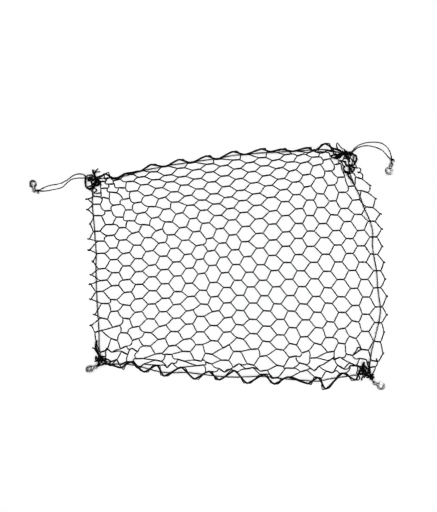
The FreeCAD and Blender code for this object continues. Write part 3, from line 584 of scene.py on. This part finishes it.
# ---------------------------------------------------------------- bunched corners
# The panel's corners are bunched up by hand, so that its yarns lie doubled and looped over each
# other, and tied round with the draw cord. Cut cord ends stick out.
# Each run of a bunch: how many yarns, how far they stray, and the places that they pass.
BUNCHES = {
    "top_left": (
        (6, 0.0024, ((-0.399, 0.327), (-0.396, 0.314), (-0.389, 0.297), (-0.392, 0.280),
                     (-0.402, 0.266))),
        (3, 0.0012, ((-0.425, 0.307), (-0.426, 0.290), (-0.425, 0.273), (-0.413, 0.264),
                     (-0.396, 0.268))),
        (2, 0.0010, ((-0.419, 0.312), (-0.406, 0.312), (-0.392, 0.300), (-0.382, 0.295),
                     (-0.375, 0.287),
                     (-0.385, 0.276), (-0.396, 0.275))),
        (2, 0.0010, ((-0.423, 0.269), (-0.406, 0.276), (-0.392, 0.290), (-0.379, 0.283),
                     (-0.372, 0.278))),
        (1, 0.0, ((-0.396, 0.314), (-0.394, 0.324), (-0.389, 0.329), (-0.384, 0.334))),
        (1, 0.0, ((-0.396, 0.317), (-0.390, 0.323), (-0.377, 0.324))),
        (1, 0.0, ((-0.396, 0.269), (-0.387, 0.261), (-0.399, 0.252), (-0.389, 0.250),
                     (-0.372, 0.252))),
    ),
    "top_right": (
        (5, 0.0030, ((0.424, 0.372), (0.434, 0.377), (0.444, 0.389), (0.458, 0.392),
                     (0.468, 0.385))),
        (5, 0.0026, ((0.444, 0.392), (0.454, 0.382), (0.465, 0.370), (0.470, 0.358))),
        (3, 0.0014, ((0.468, 0.388), (0.482, 0.383), (0.493, 0.378), (0.495, 0.368), (0.490, 0.354),
                     (0.482, 0.344), (0.471, 0.348))),
        (2, 0.0010, ((0.485, 0.378), (0.483, 0.365), (0.488, 0.351))),
        (3, 0.0012, ((0.454, 0.344), (0.449, 0.334), (0.456, 0.324), (0.468, 0.321), (0.476, 0.329),
                     (0.470, 0.341), (0.458, 0.343))),
        (3, 0.0012, ((0.468, 0.348), (0.478, 0.341), (0.487, 0.334), (0.482, 0.324),
                     (0.470, 0.326))),
        (3, 0.0012, ((0.407, 0.377), (0.415, 0.371), (0.427, 0.368), (0.439, 0.373),
                     (0.444, 0.382))),
        (1, 0.0, ((0.437, 0.363), (0.448, 0.361), (0.461, 0.348), (0.471, 0.338))),
        (1, 0.0, ((0.441, 0.361), (0.449, 0.344), (0.454, 0.338))),
        (2, 0.0010, ((0.460, 0.321), (0.468, 0.307), (0.480, 0.290), (0.485, 0.281))),
        (2, 0.0010, ((0.414, 0.402), (0.415, 0.392), (0.419, 0.378))),
    ),
    "bottom_left": (
        (5, 0.0018, ((-0.387, -0.251), (-0.391, -0.271), (-0.384, -0.288), (-0.379, -0.305),
                     (-0.380, -0.320), (-0.382, -0.332))),
        (3, 0.0015, ((-0.392, -0.305), (-0.382, -0.315), (-0.368, -0.319), (-0.355, -0.314))),
        (4, 0.0016, ((-0.392, -0.319), (-0.385, -0.316), (-0.375, -0.309))),
        (3, 0.0012, ((-0.383, -0.335), (-0.376, -0.333), (-0.365, -0.329), (-0.351, -0.330))),
        (2, 0.0012, ((-0.390, -0.302), (-0.391, -0.310), (-0.388, -0.319))),
    ),
    "bottom_right": (
        (5, 0.0022, ((0.518, -0.326), (0.526, -0.340), (0.539, -0.360), (0.551, -0.377))),
        (4, 0.0024, ((0.516, -0.330), (0.519, -0.345), (0.517, -0.356), (0.524, -0.352))),
        (5, 0.0020, ((0.523, -0.357), (0.533, -0.368), (0.546, -0.374), (0.554, -0.376))),
        (3, 0.0016, ((0.529, -0.375), (0.539, -0.373), (0.551, -0.376))),
        (3, 0.0016, ((0.519, -0.329), (0.512, -0.342), (0.505, -0.353), (0.505, -0.365))),
        (2, 0.0008, ((0.526, -0.371), (0.516, -0.370), (0.512, -0.378), (0.511, -0.384))),
        (1, 0.0, ((0.521, -0.368), (0.516, -0.361), (0.522, -0.356))),
        (1, 0.0, ((0.483, -0.299), (0.489, -0.291), (0.495, -0.283), (0.497, -0.275),
                     (0.502, -0.272),
                  (0.507, -0.275), (0.508, -0.280), (0.504, -0.285), (0.499, -0.284))),
        (2, 0.0015, ((0.534, -0.322), (0.539, -0.342), (0.538, -0.363))),
    ),
}
CURL_POINTS = 4             # places on each run between two of a bunch's own places
LOW, HIGH = 0.004, 0.013    # a bunch's lowest and highest yarns
END_HEIGHT = 0.005
BUNCH_SIDES = 7


def wander(spots, stray):
    """A yarn that passes near a run's places in uneven curls, or through them if it can't stray."""
    line, turn = [], chance.uniform(0, 2 * math.pi)
    for first, last in zip(spots, spots[1:]):
        for k in range(CURL_POINTS):
            spot = Vector(first).lerp(Vector(last), k / CURL_POINTS)
            turn += chance.uniform(0.5, 1.5)
            offset = Vector((math.cos(turn), math.sin(turn))) * stray * chance.uniform(0.6, 1.6)
            height = chance.uniform(LOW, HIGH) if stray else LOW
            line.append((*(Vector((*(spot + offset), height)) - MIDDLE), YARN_RADIUS))
    end = Vector((*spots[-1], END_HEIGHT)) - MIDDLE
    return smoothed(line + [(*end, YARN_RADIUS)], 3)


for name, runs in BUNCHES.items():
    yarns = [wander(spots, stray) for count, stray, spots in runs for _ in range(count)]
    lines = [[Vector(spot[:3]) for spot in yarn] for yarn in yarns]
    bunch = tubes(f"corner_gather_{name}_yarns", lines, [yarn[:, 3] for yarn in yarns],
                  BUNCH_SIDES, netting_finish)
    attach(bunch, "net")
    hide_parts(f"corner_gather_{name}")

# ---------------------------------------------------------------- lashings and knots
# A few turns of the draw cord hold each bunch, and a stopper knot holds each lanyard's snap.
TURNS, TURN_PITCH, TURN_POINTS = 3, 0.0023, 10
LASHING_RADIUS = 0.00725
for name in CORNERS:
    along, points = direction(CORNERS[name]["flare"]), []
    aside = direction(CORNERS[name]["flare"] + 90)
    for k in range(TURNS * TURN_POINTS + 1):
        angle = 2 * math.pi * k / TURN_POINTS
        away = (k / TURN_POINTS - TURNS / 2) * TURN_PITCH
        points.append(neck_place(name, away) + (aside * math.cos(angle)
                                                + Vector((0, 0, math.sin(angle)))) * LASHING_RADIUS)
    lashing = tubes(f"corner_lashing_{name}_turns", [line_of(points, 3)], [DRAW_DIAMETER / 2],
                    ROUND_SIDES, draw_cord_finish)
    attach(lashing, "net")
    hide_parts(f"corner_lashing_{name}")

# The knot is one closed trefoil, which rises and dips by its height times its scale. Its tails
# sink a little.
KNOT_SCALE, KNOT_POINTS, KNOT_HEIGHT = 0.00135, 30, 1.3
TAIL_DROP = 0.0005
# Cut ends beyond each knot, from its middle.
TAILS = {
    "top_left": (((-0.004, 0.001), (-0.011, 0.004), (-0.015, 0.009)),
                 ((0.001, -0.003), (-0.002, -0.010))),
    "top_right": (((-0.003, 0.002), (0.004, 0.004), (0.009, -0.001), (0.008, -0.007)),),
}
for name, tails in TAILS.items():
    middle, points = knot_place(name), []
    for k in range(KNOT_POINTS + 1):
        t = 2 * math.pi * k / KNOT_POINTS
        trefoil = Vector((math.sin(t) + 2 * math.sin(2 * t), math.cos(t) - 2 * math.cos(2 * t),
                          -KNOT_HEIGHT * math.sin(3 * t)))
        points.append(middle + trefoil * KNOT_SCALE)
    ends = [[middle] + [middle + Vector((*spot, -TAIL_DROP * k)) for k, spot in enumerate(tail)]
            for tail in tails]
    lines = [line_of(points, 3)] + [line_of(end, 4) for end in ends]
    knot = tubes(f"lanyard_knot_{name}_tied", lines, [DRAW_DIAMETER / 2] * len(lines), ROUND_SIDES,
                 draw_cord_finish)
    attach(knot, "net")
    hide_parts(f"lanyard_knot_{name}")

# ---------------------------------------------------------------- swivel snaps
# Small cast hooks and bent-wire eyes in bright nickel plate, hazed by handling, with a sprung gate
# on a steel pin.


def metal(name, colour, reflection_grey, rough, haze, grain):
    """Plated or bare metal: darker in patches of its colour, a painted reflection of a dark room,
    and rougher there, with fine handling marks.
    """
    finish = Finish(name, metallic=1.0)
    patch = finish.noise(220.0, 4.0)
    marks = finish.noise(1400.0, 2.0, 0.7)
    # Painted reflection: these patches darken the base colour to stand in for dark surroundings
    # seen in the metal.
    painted_reflection_share = (patch * 2.6 - 0.8).maths("MAXIMUM", 0.0).maths("MINIMUM", 1.0)
    finish.feed("Base Color", finish.blend(painted_reflection_share, colour, reflection_grey))
    finish.feed("Roughness", patch * haze + marks * 0.06 + rough)
    worn = finish.noise(300.0, 2.0)
    finish.bump(marks * 0.15 + worn, grain)
    return finish


nickel = metal("bright_nickel_plate", (0.50, 0.50, 0.49), (0.12, 0.12, 0.13), 0.18, 0.18, 0.00025)
plain_steel = metal("plain_steel_pin", (0.62, 0.62, 0.63), (0.40, 0.40, 0.41), 0.32, 0.20, 0.0002)
spring_steel = metal("spring_steel_wire", (0.45, 0.45, 0.47), (0.28, 0.28, 0.30), 0.30, 0.20,
                     0.0001)
for name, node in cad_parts.items():
    finish = (nickel if name.startswith("snap_") and not name.startswith("snap_loop") else
              plain_steel if name.startswith("gate_pin") else None)
    if finish is not None:
        node.data.materials.clear()
        node.data.materials.append(finish.material)

# ---------------------------------------------------------------- gate springs
# Two turns of spring wire on each gate's pin, in the knuckle's slot, replace the closed shape.
COIL_RADIUS, WIRE_RADIUS, COIL_PITCH = 0.00185, 0.0002, 0.00043
COIL_TURNS, COIL_POINTS = 2, 14
for name in CORNERS:
    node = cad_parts[f"gate_spring_{name}"]
    spots = np.array([tuple(node.matrix_world @ vertex.co) for vertex in node.data.vertices])
    middle = spots.mean(0)
    # The shape is widest across its coil, so its least spread is along the coil's axis.
    axes = np.linalg.eigh(np.cov((spots - middle).T))[1].T
    along, aside, across = (Vector(axis) for axis in axes)
    points = []
    for k in range(COIL_TURNS * COIL_POINTS + 1):
        angle = 2 * math.pi * k / COIL_POINTS
        rise = (k / COIL_POINTS - COIL_TURNS / 2) * COIL_PITCH
        points.append(Vector(middle) + along * rise
                      + (aside * math.cos(angle) + across * math.sin(angle)) * COIL_RADIUS)
    coil = tubes(f"gate_spring_{name}_coil", [points], [WIRE_RADIUS], 8, spring_steel)
    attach(coil, f"hook_{name}")
    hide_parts(f"gate_spring_{name}")

# ---------------------------------------------------------------- floor and light
# A plain white floor under a sky and two weak, soft lamps, so that the floor is just full white.
FLOOR_SIZE = 80
bpy.ops.mesh.primitive_plane_add(size=FLOOR_SIZE)
floor = bpy.context.object
floor.name = "floor"
floor_finish = Finish("white_floor", roughness=0.95, specular_ior_level=0.0)
floor_finish.feed("Base Color", floor_finish.blend(floor_finish.noise(1.5), (0.90, 0.90, 0.90),
                                                   (0.92, 0.92, 0.92)))
floor.data.materials.append(floor_finish.material)
# The sky is bright overhead and pale at the horizon, with a dark band between for the metal to
# reflect. Each step: the height on a ball of radius 1, and the grey from there.
SKY_STEPS = ((0.0, 0.80), (0.10, 0.30), (0.22, 0.02), (0.84, 0.02), (0.90, 1.0), (1.0, 1.0))
SKY_STRENGTH = 3.85
sky = bpy.data.worlds.new("soft_studio")
sky.use_nodes = True
scene.world = sky
tree = sky.node_tree
place_node = tree.nodes.new("ShaderNodeTexCoord")
height_node = tree.nodes.new("ShaderNodeSeparateXYZ")
ramp = tree.nodes.new("ShaderNodeValToRGB")
for position, _ in SKY_STEPS[1:-1]:
    ramp.color_ramp.elements.new(position)
for element, (_, grey) in zip(ramp.color_ramp.elements, SKY_STEPS):
    element.color = (grey, grey, grey, 1)
tree.links.new(place_node.outputs["Generated"], height_node.inputs[0])
tree.links.new(height_node.outputs["Z"], ramp.inputs[0])
tree.links.new(ramp.outputs[0], tree.nodes["Background"].inputs["Color"])
tree.nodes["Background"].inputs["Strength"].default_value = SKY_STRENGTH
# The lower gamma keeps thin black lines as dark on white as the eye sees them.
scene.view_settings.view_transform = "Standard"
scene.view_settings.gamma = 0.62
for name, spot, width, depth, power in (("key_lamp", (-1.6, 1.2, 2.6), 1.8, 1.2, 9),
                                        ("fill_lamp", (1.9, -1.0, 2.3), 1.4, 1.4, 5)):
    lamp = bpy.data.lights.new(name, "AREA")
    lamp.shape, lamp.size, lamp.size_y, lamp.energy = "RECTANGLE", width, depth, power
    lamp_object = bpy.data.objects.new(name, lamp)
    lamp_object.location = spot
    lamp_object.rotation_euler = (-Vector(spot)).to_track_quat("-Z", "Y").to_euler()
    scene.collection.objects.link(lamp_object)
